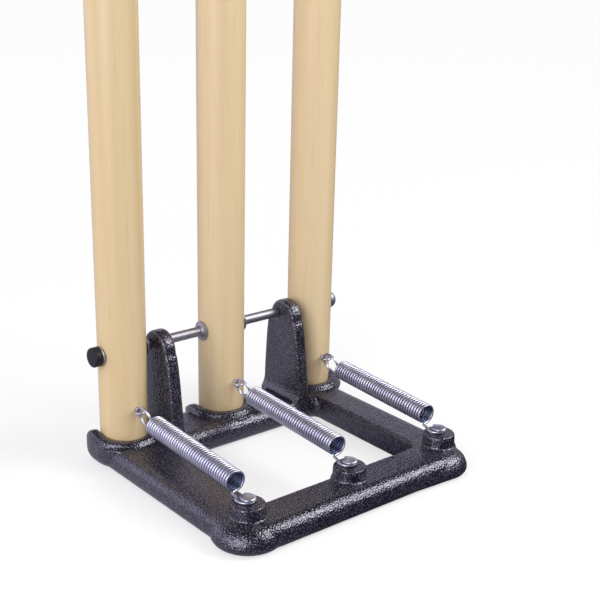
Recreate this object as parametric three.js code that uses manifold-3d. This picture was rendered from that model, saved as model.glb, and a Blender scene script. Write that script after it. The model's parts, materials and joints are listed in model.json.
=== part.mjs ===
// Spring-return cricket stumps: three wooden stumps hung on one cross rod above a cast-iron base.
// Each stump turns on the rod; an extension spring holds its foot against the front of its seat.
// Millimetres, +Z up. X runs along the rod, -Y is the side that the springs reach out to.
import * as THREE from 'three';
import { mergeVertices } from 'three/addons/utils/BufferGeometryUtils.js';
import Module from 'manifold-3d';

const wasm = await Module();
wasm.setup();

const clearance = 0.3; // between pieces that seat on each other
const overrun = 4; // how far a cutter reaches past the face it cuts

// Stumps
const stumpDiameter = 38.1;
const stumpPitch = 95.25;
const stumpTopHeight = 711;
const stumpFootHeight = 6;
const footChamfer = 1.5;
const domeHeight = 11;
const bailGrooveWidth = 10;
const bailGrooveDepth = 6;

// Pivot
const pivotHeight = 92.3;
const rodDiameter = 6;
const rodHeadDiameter = 15;
const rodHeadHeight = 7.4;
const rodHeadRim = 1.2;
const spacerDiameter = 8;
const spacerWall = 0.7;
const flareDiameter = 16;
const flareLip = 1.1;
const flareLength = 4.2;
const bushDiameter = 10;
const washerDiameter = 16;
const washerThickness = 1.2;
const capDiameter = 15.5;
const capLength = 6.8;
const capEndWall = 2;
const capEdge = 1.6;

// Base frame: overhangs past the outer stumps' axes and the pins, reaches in Y from the rod's line
const baseThickness = 20;
const leftOverhang = 23.15;
const rightOverhang = 16.25;
const frontOverhang = 26.1;
const baseRearReach = 15;
const frontCornerRadius = 36;
const rearCornerRadius = 12;
const rollTopRadius = 10;
const rollFootRadius = 7;
const windowStumpInset = 16.95;
const windowPinGap = 8.3;
const windowRearReach = 34.5;
const windowFrontCorner = 7;
const windowRearCorner = 5;
const windowEdgeRadius = 2.5;
const lobeTopRadius = 15;
const leftLobeRadius = 27.1;
const rightLobeRadius = 21;
const rightLobeInset = 4.2;
const rightLobeForward = 7.9;
const rightLobeTaper = 41;

// Seats round the stump feet
const seatClearance = 0.95;
const collarRadius = 27.3;
const collarStraight = 5.5;
const collarEndTurn = THREE.MathUtils.degToRad(32);
const collarFrontHeight = 24.6;
const outerShoulderHeight = 28.2;
const innerShoulderHeight = 24.9;
const collarShoulderPlace = 6;
const collarEndHeight = 15;
const collarEdgeRadius = 3.4;
const collarFilletSpread = 4;
const collarFilletBendShare = 0.25;
const collarFilletFade = 0.7; // power by which the fillet fades out towards the rear

// Ears that carry the rod
const earInnerPlace = 58.6;
const earThickness = 11.4;
const earCrownRadius = 15.7;
const earCrownDrop = 3.3;
const earCrownLean = 6.8;
const earFrontFlare = 11.1;
const earRearFlare = 8.6;
const earEdgeRadius = 3.2;
const earFilletHeight = 9;
const earFilletSpread = 3.2;
const earFrontCurve = 0.6; // powers that bow the ear's front and rear sides and its crown's edge
const earRearCurve = 0.3;
const earCrownCurve = 6;

// Bosses that hold the springs' front loops
const bossReach = 162.7;
const bossHeight = 30;
const bossRadius = 12.6;
const bossDraft = 0.4;
const bossEdgeRadius = 2.2;
const bossFilletRadius = 1.2;
const pinShankDiameter = 5;
const pinHeadDiameter = 11.5;
const pinHeadHeight = 2.4;
const pinHeadRim = 0.9;
const pinDepth = 13;

// Springs
const springWire = 2.2;
const springDiameter = 15;
const springTurns = 32;
const springPinGap = 14.3;
const springFrontHeight = 40.2;
const springRearReach = 45.2;
const springRearHeight = 45.2;
const frontLoopRadius = 6.9;
const rearLoopRadius = 8.8;
const rearLoopHeight = 46.6;
const rearLoopTilt = THREE.MathUtils.degToRad(16);
const frontLoopStart = THREE.MathUtils.degToRad(62);
const frontLoopEnd = THREE.MathUtils.degToRad(-222);
const rearLoopStart = THREE.MathUtils.degToRad(-75);
const rearLoopEnd = THREE.MathUtils.degToRad(205);
const bridgePullShare = 0.9;

// Screw eyes
const eyeHeight = 49;
const eyeWire = 2;
const eyeRingRadius = 4;
const eyeShankDiameter = 3.2;
const eyeShankLength = 17;

// Values worked out from the sizes above
const stumpRadius = stumpDiameter / 2;
const seatRadius = stumpRadius + seatClearance;
const collarEndReach = collarStraight + collarRadius * Math.sin(collarEndTurn);
const leftLobe = { x: -stumpPitch, reach: bossReach, radius: leftLobeRadius };
const rightLobe = {
  x: stumpPitch - rightLobeInset, reach: bossReach + rightLobeForward, radius: rightLobeRadius,
};
const baseFarthestReach = Math.max(leftLobe.reach + leftLobe.radius, rightLobe.reach + rightLobe.radius);
const originShift = (baseFarthestReach - collarEndReach) / 2;
const baseLeftReach = stumpPitch + leftOverhang;
const baseRightReach = stumpPitch + rightOverhang;
const baseFrontReach = bossReach + frontOverhang;
const windowHalfWidth = stumpPitch - windowStumpInset;
const windowFrontReach = bossReach - windowPinGap;
const springFrontReach = bossReach - springPinGap;
const rightTaperStart = {
  x: rightLobe.x - rightLobeTaper, reach: baseFrontReach - rightLobeRadius, radius: rightLobeRadius,
};
const loopHeight = bossHeight + clearance + springWire / 2;
const eyeReach = stumpRadius + clearance + eyeWire / 2 + eyeRingRadius;
const earOuterPlace = earInnerPlace + earThickness;
const bossPadRadius = bossRadius + bossDraft + bossFilletRadius;
const springMeanRadius = (springDiameter - springWire) / 2;

// Facets
const roundSteps = 18;
const smallSteps = 12;
const stumpSteps = 32;
const cornerSteps = 5;
const collarSteps = 12;
const edgeSteps = 2;
const domeSteps = 4;
const flareSteps = 3;
const crownSteps = 7;
const turnSteps = 8;
const wireSides = 5;
const loopSteps = 13;
const bridgeSteps = 3;
const eyeSteps = 12;
const gapSamples = 4;
const barHeightShares = [0, 0.02, 0.1, 0.22, 0.35, 0.5, 0.7, 0.86, 0.96, 1];
const collarFootShares = [0.08, 0.3, 0.6, 1];
const collarEndShares = [1, 0.7, 0.35, 0];
const earFootShares = [0, 0.25, 0.55, 1];
const earSideShares = [0.12, 0.3, 0.55, 0.8, 0.94, 1];

const paint = new THREE.Color(0.07, 0.068, 0.08);
const zinc = new THREE.Color(0.66, 0.68, 0.74);
const steel = new THREE.Color(0.6, 0.6, 0.62);
const timber = new THREE.Color(0.85, 0.73, 0.53);
const rubber = new THREE.Color(0.03, 0.03, 0.035);

const finishes = {
  casting: { color: paint, roughness: 0.38, metalness: 0.35 },
  wood: { color: timber, roughness: 0.42, metalness: 0 },
  zinc: { color: zinc, roughness: 0.25, metalness: 0.95 },
  steel: { color: steel, roughness: 0.3, metalness: 0.95 },
  rubber: { color: rubber, roughness: 0.55, metalness: 0 },
};

const stumps = new THREE.Group();
stumps.position.y = originShift;

function addPiece(name, geometry, finish) {
  const piece = new THREE.Mesh(geometry, new THREE.MeshStandardMaterial(finishes[finish]));
  piece.name = name;
  stumps.add(piece);
  return piece;
}

// Booleans: a closed geometry becomes a solid and comes back as a geometry
function solidOf(geometry) {
  const bare = geometry.clone();
  bare.deleteAttribute('normal');
  bare.deleteAttribute('uv');
  const merged = mergeVertices(bare);
  const corners = Array.from(merged.index.array);
  const faces = [];
  for (let at = 0; at < corners.length; at += 3) {
    const [a, b, c] = corners.slice(at, at + 3);
    if (a !== b && b !== c && c !== a) faces.push(a, b, c);
  }
  return new wasm.Manifold(new wasm.Mesh({
    numProp: 3,
    vertProperties: new Float32Array(merged.attributes.position.array),
    triVerts: new Uint32Array(faces),
  }));
}

function geometryOf(solid) {
  const mesh = solid.getMesh();
  const geometry = new THREE.BufferGeometry();
  geometry.setAttribute('position', new THREE.BufferAttribute(new Float32Array(mesh.vertProperties), 3));
  geometry.setIndex(new THREE.BufferAttribute(new Uint32Array(mesh.triVerts), 1));
  geometry.computeVertexNormals();
  return geometry;
}

function joined(geometries) {
  return geometries.map(solidOf).reduce((sum, solid) => sum.add(solid));
}

function hulled(geometries) {
  return wasm.Manifold.hull(geometries.map(solidOf));
}

function cutFrom(body, cutters) {
  return cutters.map(solidOf).reduce((rest, cutter) => rest.subtract(cutter), body);
}

// A closed skin over rings of equally many points, each ring going round anticlockwise seen from its end
function skinOver(rings) {
  const count = rings[0].length;
  const points = rings.flat();
  const faces = [];
  for (let ring = 0; ring < rings.length - 1; ring++) {
    for (let step = 0; step < count; step++) {
      const a = ring * count + step;
      const b = ring * count + (step + 1) % count;
      faces.push(a, b, b + count, a, b + count, a + count);
    }
  }
  const lastRing = (rings.length - 1) * count;
  const flat = rings[0].map((point) => planePoint(point, rings[0]));
  for (const [a, b, c] of THREE.ShapeUtils.triangulateShape(flat, [])) faces.push(a, c, b);
  const flatEnd = rings.at(-1).map((point) => planePoint(point, rings.at(-1)));
  for (const [a, b, c] of THREE.ShapeUtils.triangulateShape(flatEnd, [])) {
    faces.push(lastRing + a, lastRing + b, lastRing + c);
  }
  const geometry = new THREE.BufferGeometry();
  const coordinates = points.flatMap((point) => point.toArray());
  geometry.setAttribute('position', new THREE.Float32BufferAttribute(coordinates, 3));
  geometry.setIndex(faces);
  geometry.computeVertexNormals();
  return geometry;
}

// A ring's point in the ring's own plane, so that its end can be closed with triangles
function planePoint(point, ring) {
  const centre = ring.reduce((sum, p) => sum.add(p), new THREE.Vector3()).divideScalar(ring.length);
  const normal = new THREE.Vector3();
  ring.forEach((p, index) => {
    const next = ring[(index + 1) % ring.length];
    normal.add(new THREE.Vector3().crossVectors(p.clone().sub(centre), next.clone().sub(centre)));
  });
  normal.normalize();
  const across = ring[0].clone().sub(centre).normalize();
  const along = new THREE.Vector3().crossVectors(normal, across);
  const arm = point.clone().sub(centre);
  return new THREE.Vector2(arm.dot(across), arm.dot(along));
}

// A solid of revolution about X, from a profile of (distance along X, radius) pairs
function turnedAlongX(profile, steps) {
  const points = profile.map(([along, radius]) => new THREE.Vector2(radius, along));
  const geometry = new THREE.LatheGeometry(points, steps);
  geometry.rotateZ(-Math.PI / 2);
  return geometry;
}

function turnedAlongZ(profile, steps) {
  return new THREE.LatheGeometry(profile.map(([radius, height]) => new THREE.Vector2(radius, height)), steps)
    .rotateX(Math.PI / 2);
}

function rodAlongX(radius, start, end, steps) {
  return turnedAlongX([[start, 0], [start, radius], [end, radius], [end, 0]], steps);
}

// How far a rolled edge of the base draws in at a height, from its bulge
function rollInset(height, footRadius, topRadius) {
  const below = Math.max(0, footRadius - height);
  const above = Math.max(0, height - (baseThickness - topRadius));
  const footInset = footRadius - Math.sqrt(footRadius ** 2 - below ** 2);
  return footInset + topRadius - Math.sqrt(topRadius ** 2 - above ** 2);
}

// Rounded rectangle, anticlockwise from the rear right corner
function roundedOutline(sides, rearRadius, frontRadius, height) {
  const corners = [
    [sides.right - rearRadius, sides.rear - rearRadius, rearRadius],
    [sides.left + rearRadius, sides.rear - rearRadius, rearRadius],
    [sides.left + frontRadius, sides.front + frontRadius, frontRadius],
    [sides.right - frontRadius, sides.front + frontRadius, frontRadius],
  ];
  return corners.flatMap(([centreX, centreY, radius], quarter) => {
    const corner = [];
    for (let step = 0; step <= cornerSteps; step++) {
      const angle = (quarter + step / cornerSteps) * Math.PI / 2;
      corner.push(new THREE.Vector3(
        centreX + radius * Math.cos(angle), centreY + radius * Math.sin(angle), height));
    }
    return corner;
  });
}

// Base: a frame with rolled outer edges and one window, lobes under the corner bosses, open seats, two ears
function frameSlab() {
  return skinOver(barHeightShares.map((share) => {
    const height = baseThickness * share;
    const inset = rollInset(height, rollFootRadius, rollTopRadius);
    const sides = {
      left: -baseLeftReach + inset, right: baseRightReach - inset,
      front: -baseFrontReach + inset, rear: baseRearReach - inset,
    };
    return roundedOutline(sides, rearCornerRadius - inset, frontCornerRadius - inset, height);
  }));
}

function cornerLobe({ x, reach, radius }) {
  const profile = barHeightShares.map((share) => {
    const height = baseThickness * share;
    return [radius - rollInset(height, rollFootRadius, lobeTopRadius), height];
  });
  return turnedAlongZ([[0, 0], ...profile, [0, baseThickness]], roundSteps).translate(x, -reach, 0);
}

// The window's walls stand nearly straight, but the rear bar rolls over towards it
function windowCutter() {
  const ring = (height, level) => {
    const wall = rollInset(level, windowEdgeRadius, windowEdgeRadius);
    const roll = rollInset(level, rollFootRadius, rollTopRadius);
    const sides = {
      left: -windowHalfWidth - wall, right: windowHalfWidth + wall,
      front: -windowFrontReach - wall, rear: -windowRearReach + roll,
    };
    return roundedOutline(sides, windowRearCorner + wall, windowFrontCorner + wall, height);
  };
  const rings = barHeightShares.map((share) => ring(baseThickness * share, baseThickness * share));
  return skinOver([ring(-overrun, 0), ...rings, ring(baseThickness + overrun, baseThickness)]);
}

// A boss stands on a round pad as deep as the bar, which swells a little into the window
function bossBody(place) {
  const filletFoot = baseThickness - clearance;
  const footRadius = bossRadius + bossDraft;
  const profile = [[0, 0], [bossPadRadius, 0]];
  for (let step = 0; step <= edgeSteps; step++) {
    const angle = step / edgeSteps * Math.PI / 2;
    profile.push([footRadius + bossFilletRadius * (1 - Math.sin(angle)),
      filletFoot + bossFilletRadius * (1 - Math.cos(angle))]);
  }
  for (let step = 0; step <= edgeSteps; step++) {
    const angle = step / edgeSteps * Math.PI / 2;
    profile.push([bossRadius - bossEdgeRadius * (1 - Math.cos(angle)),
      bossHeight - bossEdgeRadius * (1 - Math.sin(angle))]);
  }
  profile.push([0, bossHeight]);
  return turnedAlongZ(profile, roundSteps).translate(place, -bossReach, 0);
}

function pinHole(place) {
  const radius = pinShankDiameter / 2 + clearance;
  const floor = bossHeight - pinDepth - clearance;
  return turnedAlongZ([[0, floor], [radius, floor], [radius, bossHeight + overrun], [0, bossHeight + overrun]],
    smallSteps).translate(place, -bossReach, 0);
}

// Height of a collar's rim at a distance behind the rod's line, rounded down at the rear end
function collarRimHeight(behind, shoulderHeight) {
  if (behind <= collarShoulderPlace) {
    const share = (behind + collarRadius) / (collarShoulderPlace + collarRadius);
    return collarFrontHeight + (shoulderHeight - collarFrontHeight) * share ** 2;
  }
  const share = Math.min(1, (behind - collarShoulderPlace) / (collarEndReach - collarShoulderPlace));
  return collarEndHeight + (shoulderHeight - collarEndHeight) * Math.sqrt(1 - share ** 2);
}

// One station of a collar: rolled foot, fillet on the bar's top, wall, rounded rim
function collarSection(centre, outward, rimHeight, spread) {
  const innerRadius = seatRadius - collarEdgeRadius;
  const filletFoot = Math.min(baseThickness - clearance, rimHeight - collarEdgeRadius - 2 * clearance);
  const profile = [[innerRadius, 0]];
  for (const share of collarFootShares) {
    const height = rollTopRadius * share;
    profile.push([collarRadius - rollInset(height, rollTopRadius, rollTopRadius), height]);
  }
  profile.push([collarRadius + spread, filletFoot]);
  const bend = spread * collarFilletBendShare;
  profile.push([collarRadius + bend, filletFoot + clearance + bend]);
  for (let step = 0; step <= edgeSteps; step++) {
    const angle = step / edgeSteps * Math.PI / 2;
    const height = rimHeight - collarEdgeRadius * (1 - Math.sin(angle));
    profile.push([collarRadius - collarEdgeRadius * (1 - Math.cos(angle)),
      Math.max(height, filletFoot + 2 * clearance + bend)]);
  }
  profile.push([seatRadius + clearance, rimHeight], [innerRadius, rimHeight - collarEdgeRadius]);
  return profile.map(([reach, height]) => new THREE.Vector3(
    centre.x + outward.x * reach, centre.y + outward.y * reach, height));
}

// A collar runs round the front of its seat and a little way back on each side
function seatCollar(place, leftShoulder, rightShoulder) {
  const stations = [];
  for (const share of collarEndShares) stations.push([collarStraight, 2 * Math.PI + collarEndTurn * share]);
  for (let step = 0; step <= collarSteps; step++) stations.push([0, Math.PI * (2 - step / collarSteps)]);
  for (const share of collarEndShares.toReversed()) {
    stations.push([collarStraight, Math.PI - collarEndTurn * share]);
  }
  const rings = stations.map(([behind, angle]) => {
    const outward = new THREE.Vector2(Math.cos(angle), Math.sin(angle));
    const shoulder = outward.x > 0 ? rightShoulder : leftShoulder;
    const spread = collarFilletSpread * Math.max(0, -outward.y) ** collarFilletFade;
    const rimHeight = collarRimHeight(behind + outward.y * collarRadius, shoulder);
    return collarSection(new THREE.Vector2(place, behind), outward, rimHeight, spread);
  });
  return skinOver(rings);
}

function seatCutter(place) {
  const shape = new THREE.Shape();
  shape.moveTo(place + seatRadius, collarEndReach + overrun);
  shape.lineTo(place - seatRadius, collarEndReach + overrun);
  shape.lineTo(place - seatRadius, 0);
  shape.absarc(place, 0, seatRadius, Math.PI, 2 * Math.PI, false);
  shape.closePath();
  const depth = outerShoulderHeight + 2 * overrun;
  return new THREE.ExtrudeGeometry(shape, { depth, bevelEnabled: false, curveSegments: collarSteps })
    .translate(0, 0, -overrun);
}

// An ear is a stack of rounded sections: filleted foot, sides that flare down, crown rounded over
function earSection(side, height, front, rear, thickness) {
  const radius = Math.min(earEdgeRadius, (rear - front) / 2 - clearance, thickness / 2 - clearance);
  const middle = earInnerPlace + earThickness / 2;
  const section = [];
  const corners = [[1, 1], [-1, 1], [-1, -1], [1, -1]];
  corners.forEach(([across, along], quarter) => {
    const cornerX = side * middle + across * (thickness / 2 - radius);
    const cornerY = (front + rear) / 2 + along * ((rear - front) / 2 - radius);
    for (let step = 0; step <= edgeSteps; step++) {
      const angle = (quarter + step / edgeSteps) * Math.PI / 2;
      section.push(new THREE.Vector3(
        cornerX + radius * Math.cos(angle), cornerY + radius * Math.sin(angle), height));
    }
  });
  return section;
}

function ear(side) {
  const sections = [];
  const crownHeight = pivotHeight - earCrownDrop;
  const footHeight = baseThickness / 2;
  const filletTop = baseThickness + earFilletHeight;
  const front = (share) => -earCrownLean - earCrownRadius - earFrontFlare * share ** earFrontCurve;
  const rear = (share) => -earCrownLean + earCrownRadius + earRearFlare * share ** earRearCurve;
  sections.push(earSection(side, footHeight, front(1), rear(1), earThickness + 2 * earFilletSpread));
  for (const share of earFootShares) {
    const height = baseThickness + earFilletHeight * share;
    const fall = (crownHeight - height) / (crownHeight - baseThickness);
    sections.push(earSection(side, height, front(fall), rear(fall),
      earThickness + 2 * earFilletSpread * (1 - share) ** 2));
  }
  for (const share of earSideShares) {
    const height = filletTop + (crownHeight - filletTop) * share;
    const fall = (crownHeight - height) / (crownHeight - baseThickness);
    sections.push(earSection(side, height, front(fall), rear(fall), earThickness));
  }
  for (let step = 1; step < crownSteps; step++) {
    const angle = step / crownSteps * Math.PI / 2;
    const halfWidth = earCrownRadius * Math.cos(angle);
    const rounding = earEdgeRadius * (1 - Math.sqrt(1 - (step / crownSteps) ** earCrownCurve));
    sections.push(earSection(side, crownHeight + earCrownRadius * Math.sin(angle),
      -earCrownLean - halfWidth, -earCrownLean + halfWidth, earThickness - 2 * rounding));
  }
  return skinOver(sections);
}

function baseCasting() {
  const places = [-stumpPitch, 0, stumpPitch];
  const rightEnd = hulled([cornerLobe(rightTaperStart), cornerLobe(rightLobe)]); // the front bar swells towards it
  const frame = joined([frameSlab(), cornerLobe(leftLobe)]).add(rightEnd);
  const body = cutFrom(frame, [windowCutter()]);
  const collars = [
    seatCollar(-stumpPitch, outerShoulderHeight, innerShoulderHeight),
    seatCollar(0, innerShoulderHeight, innerShoulderHeight),
    seatCollar(stumpPitch, innerShoulderHeight, outerShoulderHeight),
  ];
  const risers = joined([...places.map(bossBody), ...collars, ear(-1), ear(1)]);
  const rodHole = rodAlongX(rodDiameter / 2 + clearance, -earOuterPlace - overrun, earOuterPlace + overrun,
    smallSteps).translate(0, 0, pivotHeight);
  return geometryOf(cutFrom(body.add(risers), [...places.map(seatCutter), ...places.map(pinHole), rodHole]));
}

// Stump: turned pole with a domed top, a groove for the bails, a cross bore and a pilot hole
function stumpBody() {
  const profile = [[0, stumpFootHeight], [stumpRadius - footChamfer, stumpFootHeight],
    [stumpRadius, stumpFootHeight + footChamfer]];
  const shoulder = stumpTopHeight - domeHeight;
  for (let step = 0; step <= domeSteps; step++) {
    const angle = step / domeSteps * Math.PI / 2;
    profile.push([stumpRadius * Math.cos(angle), shoulder + domeHeight * Math.sin(angle)]);
  }
  return turnedAlongZ(profile, stumpSteps);
}

function stump(place) {
  const boreRadius = bushDiameter / 2 + clearance;
  const bore = rodAlongX(boreRadius, -stumpRadius - overrun, stumpRadius + overrun, smallSteps)
    .translate(0, 0, pivotHeight);
  const grooveRadius = bailGrooveWidth / 2;
  const groove = rodAlongX(grooveRadius, -stumpRadius - overrun, stumpRadius + overrun, smallSteps)
    .translate(0, 0, stumpTopHeight - bailGrooveDepth + grooveRadius);
  const pilotRadius = eyeShankDiameter / 2 + clearance;
  const pilotEnd = eyeReach - eyeRingRadius - eyeShankLength - clearance;
  const pilotStart = stumpRadius + overrun;
  const pilot = new THREE.CylinderGeometry(pilotRadius, pilotRadius, pilotStart - pilotEnd, smallSteps)
    .translate(0, -(pilotStart + pilotEnd) / 2, eyeHeight);
  return geometryOf(cutFrom(solidOf(stumpBody()), [bore, groove, pilot])).translate(place, 0, 0);
}

// Pivot pieces, all turned about the rod's line
function onRodLine(geometry) {
  return geometry.translate(0, 0, pivotHeight);
}

function pivotRod() {
  const radius = rodDiameter / 2;
  const headPlace = stumpPitch + stumpRadius + washerThickness + 2 * clearance;
  const rodEnd = -(headPlace + capLength - capEndWall - clearance);
  const headRadius = rodHeadDiameter / 2;
  const profile = [[rodEnd, 0], [rodEnd, radius], [headPlace, radius], [headPlace, headRadius],
    [headPlace + rodHeadRim, headRadius]];
  for (let step = 1; step <= domeSteps; step++) {
    const angle = step / domeSteps * Math.PI / 2;
    profile.push([headPlace + rodHeadRim + (rodHeadHeight - rodHeadRim) * Math.sin(angle),
      headRadius * Math.cos(angle)]);
  }
  return onRodLine(turnedAlongX(profile, roundSteps));
}

function endCap() {
  const face = stumpPitch + stumpRadius + washerThickness + 2 * clearance;
  const bore = rodDiameter / 2 + clearance;
  const radius = capDiameter / 2;
  return onRodLine(turnedAlongX([
    [-face, bore], [-face - capLength + capEndWall, bore], [-face - capLength + capEndWall, 0],
    [-face - capLength, 0], [-face - capLength, radius - capEdge], [-face - capLength + capEdge, radius],
    [-face, radius], [-face, bore],
  ], roundSteps));
}

function endWasher(side) {
  const bore = rodDiameter / 2 + clearance;
  const near = stumpPitch + stumpRadius + clearance;
  const [start, end] = [side * near, side * (near + washerThickness)].sort((a, b) => a - b);
  const radius = washerDiameter / 2;
  return onRodLine(turnedAlongX([[start, bore], [start, radius], [end, radius], [end, bore], [start, bore]],
    roundSteps));
}

// A spacer tube: plain at the ear, flared like an eyelet where it meets the stump
function spacer(stumpFace, earFace) {
  const direction = Math.sign(earFace - stumpFace);
  const start = stumpFace + direction * clearance;
  const end = earFace - direction * clearance;
  const outer = spacerDiameter / 2;
  const bore = outer - spacerWall;
  const flare = flareDiameter / 2;
  const curve = [];
  for (let step = 0; step <= flareSteps; step++) {
    const angle = step / flareSteps * Math.PI / 2;
    curve.push([start + direction * (flareLip + (flareLength - flareLip) * (1 - Math.cos(angle))),
      flare - (flare - outer) * Math.sin(angle)]);
  }
  const profile = [[start, bore], [start, flare], ...curve, [end, outer], [end, bore], [start, bore]];
  return onRodLine(turnedAlongX(direction > 0 ? profile : profile.toReversed(), roundSteps));
}

function pivotBush(place) {
  const outer = bushDiameter / 2;
  const bore = rodDiameter / 2 + clearance;
  const [start, end] = [place - stumpRadius, place + stumpRadius];
  return onRodLine(turnedAlongX([[start, bore], [start, outer], [end, outer], [end, bore], [start, bore]],
    smallSteps));
}

// Screw eye: a ring lying flat with a shank that goes back into the stump
function screwEye(place) {
  const ring = new THREE.TorusGeometry(eyeRingRadius, eyeWire / 2, wireSides + 1, eyeSteps);
  const shankRadius = eyeShankDiameter / 2;
  const shank = new THREE.CylinderGeometry(shankRadius, shankRadius, eyeShankLength, smallSteps)
    .translate(0, eyeRingRadius + eyeShankLength / 2, 0);
  return geometryOf(joined([ring, shank])).translate(place, -eyeReach, eyeHeight);
}

// Pin: shank in the boss, low domed head over the spring's front loop
function springPin(place) {
  const underHead = loopHeight + springWire / 2 + clearance;
  const shank = pinShankDiameter / 2;
  const head = pinHeadDiameter / 2;
  const profile = [[0, bossHeight - pinDepth], [shank, bossHeight - pinDepth], [shank, underHead],
    [head, underHead], [head, underHead + pinHeadRim]];
  for (let step = 1; step <= domeSteps; step++) {
    const angle = step / domeSteps * Math.PI / 2;
    const rise = (pinHeadHeight - pinHeadRim) * Math.sin(angle);
    profile.push([head * Math.cos(angle), underHead + pinHeadRim + rise]);
  }
  return turnedAlongZ(profile, smallSteps).translate(place, -bossReach, 0);
}

// Extension spring as one unbroken wire: flat front loop round the pin, close coil, upright rear loop
function springLine() {
  const line = [];
  const loopInner = frontLoopRadius - springWire / 2;
  const frontCentre = -bossReach + loopInner - pinShankDiameter / 2 - clearance;
  for (let step = 0; step <= loopSteps; step++) {
    const angle = frontLoopStart + (frontLoopEnd - frontLoopStart) * step / loopSteps;
    line.push(new THREE.Vector3(frontLoopRadius * Math.cos(angle),
      frontCentre + frontLoopRadius * Math.sin(angle), loopHeight));
  }
  const front = new THREE.Vector3(0, -springFrontReach, springFrontHeight);
  const rear = new THREE.Vector3(0, -springRearReach, springRearHeight);
  const axis = rear.clone().sub(front);
  const length = axis.length();
  axis.normalize();
  const up = new THREE.Vector3(0, -axis.z, axis.y);
  const coil = [];
  const steps = springTurns * turnSteps;
  for (let step = 0; step <= steps; step++) {
    const angle = -Math.PI / 2 + step / turnSteps * 2 * Math.PI;
    coil.push(front.clone().addScaledVector(axis, length * step / steps)
      .addScaledVector(up, springMeanRadius * Math.sin(angle))
      .add(new THREE.Vector3(springMeanRadius * Math.cos(angle), 0, 0)));
  }
  line.push(...bridge(line.at(-2), line.at(-1), coil[0], coil[1]), ...coil);
  const tiltX = -Math.sin(rearLoopTilt);
  const tiltZ = Math.cos(rearLoopTilt);
  const crossing = stumpRadius + clearance + eyeWire + clearance + springWire / 2;
  const rise = (eyeHeight - rearLoopHeight) / tiltZ;
  const rearCentre = -crossing - Math.sqrt(rearLoopRadius ** 2 - rise ** 2);
  const rearLoop = [];
  for (let step = 0; step <= loopSteps; step++) {
    const angle = rearLoopStart + (rearLoopEnd - rearLoopStart) * step / loopSteps;
    const lift = rearLoopRadius * Math.sin(angle);
    rearLoop.push(new THREE.Vector3(tiltX * lift, rearCentre + rearLoopRadius * Math.cos(angle),
      rearLoopHeight + tiltZ * lift));
  }
  line.push(...bridge(coil.at(-2), coil.at(-1), rearLoop[0], rearLoop[1]), ...rearLoop);
  return line;
}

// Points between two ends of a wire that follow on smoothly from both
function bridge(before, start, end, after) {
  const pull = springMeanRadius * bridgePullShare;
  const out = start.clone().sub(before).setLength(pull).add(start);
  const back = end.clone().sub(after).setLength(pull).add(end);
  const curve = new THREE.CubicBezierCurve3(start, out, back, end);
  return curve.getPoints(bridgeSteps + 1).slice(1, -1);
}

// A tube of few sides along a line of points, each ring carried on from the one before without a twist
function wireAlong(line, radius, sides) {
  const tangents = line.map((point, index) => line[Math.min(index + 1, line.length - 1)].clone()
    .sub(line[Math.max(index - 1, 0)]).normalize());
  let side = new THREE.Vector3(0, 0, 1);
  const rings = line.map((point, index) => {
    side = side.clone().addScaledVector(tangents[index], -side.dot(tangents[index])).normalize();
    const across = new THREE.Vector3().crossVectors(tangents[index], side);
    const ring = [];
    for (let step = 0; step < sides; step++) {
      const angle = step / sides * 2 * Math.PI;
      ring.push(point.clone().addScaledVector(side, radius * Math.cos(angle))
        .addScaledVector(across, radius * Math.sin(angle)));
    }
    return ring;
  });
  return skinOver(rings);
}

// Least gap of the wire to itself: points more than a half turn apart along it, less one wire
function leastSelfGap(line, wire) {
  const apart = turnSteps / 2 + 1;
  let least = Infinity;
  for (let a = 0; a < line.length - 1; a++) {
    for (let b = a + apart; b < line.length - 1; b++) {
      least = Math.min(least, segmentGap(line[a], line[a + 1], line[b], line[b + 1]));
    }
  }
  return least - wire;
}

function segmentGap(a, b, c, d) {
  const target = new THREE.Vector3();
  const segment = new THREE.Line3(c, d);
  let least = Infinity;
  for (let step = 0; step <= gapSamples; step++) {
    const point = a.clone().lerp(b, step / gapSamples);
    segment.closestPointToPoint(point, true, target);
    least = Math.min(least, target.distanceTo(point));
  }
  return least;
}

addPiece('base_casting', baseCasting(), 'casting');

const seats = [['left', -stumpPitch], ['middle', 0], ['right', stumpPitch]];
const wireLine = springLine();
const wireBody = wireAlong(wireLine, springWire / 2, wireSides);
for (const [name, place] of seats) {
  addPiece(`stump_${name}`, stump(place), 'wood');
  addPiece(`pivot_bush_${name}`, pivotBush(place), 'steel');
  addPiece(`screw_eye_${name}`, screwEye(place), 'zinc');
  addPiece(`spring_${name}`, wireBody.clone(), 'zinc').position.x = place;
  addPiece(`spring_pin_${name}`, springPin(place), 'zinc');
}

addPiece('pivot_rod', pivotRod(), 'steel');
addPiece('rod_end_cap', endCap(), 'rubber');
for (const [name, side] of [['left', -1], ['right', 1]]) {
  addPiece(`end_washer_${name}`, endWasher(side), 'steel');
  addPiece(`inner_spacer_${name}`, spacer(side * stumpRadius, side * earInnerPlace), 'steel');
  addPiece(`outer_spacer_${name}`, spacer(side * (stumpPitch - stumpRadius), side * earOuterPlace), 'steel');
}

console.log(`spring wire's least gap to itself: ${leastSelfGap(wireLine, springWire).toFixed(2)} mm`);

export default stumps;
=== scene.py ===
import json
import math

import bmesh
import bpy
from bmesh.types import BMEdge, BMVert
from mathutils import Matrix, Vector, noise


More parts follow.
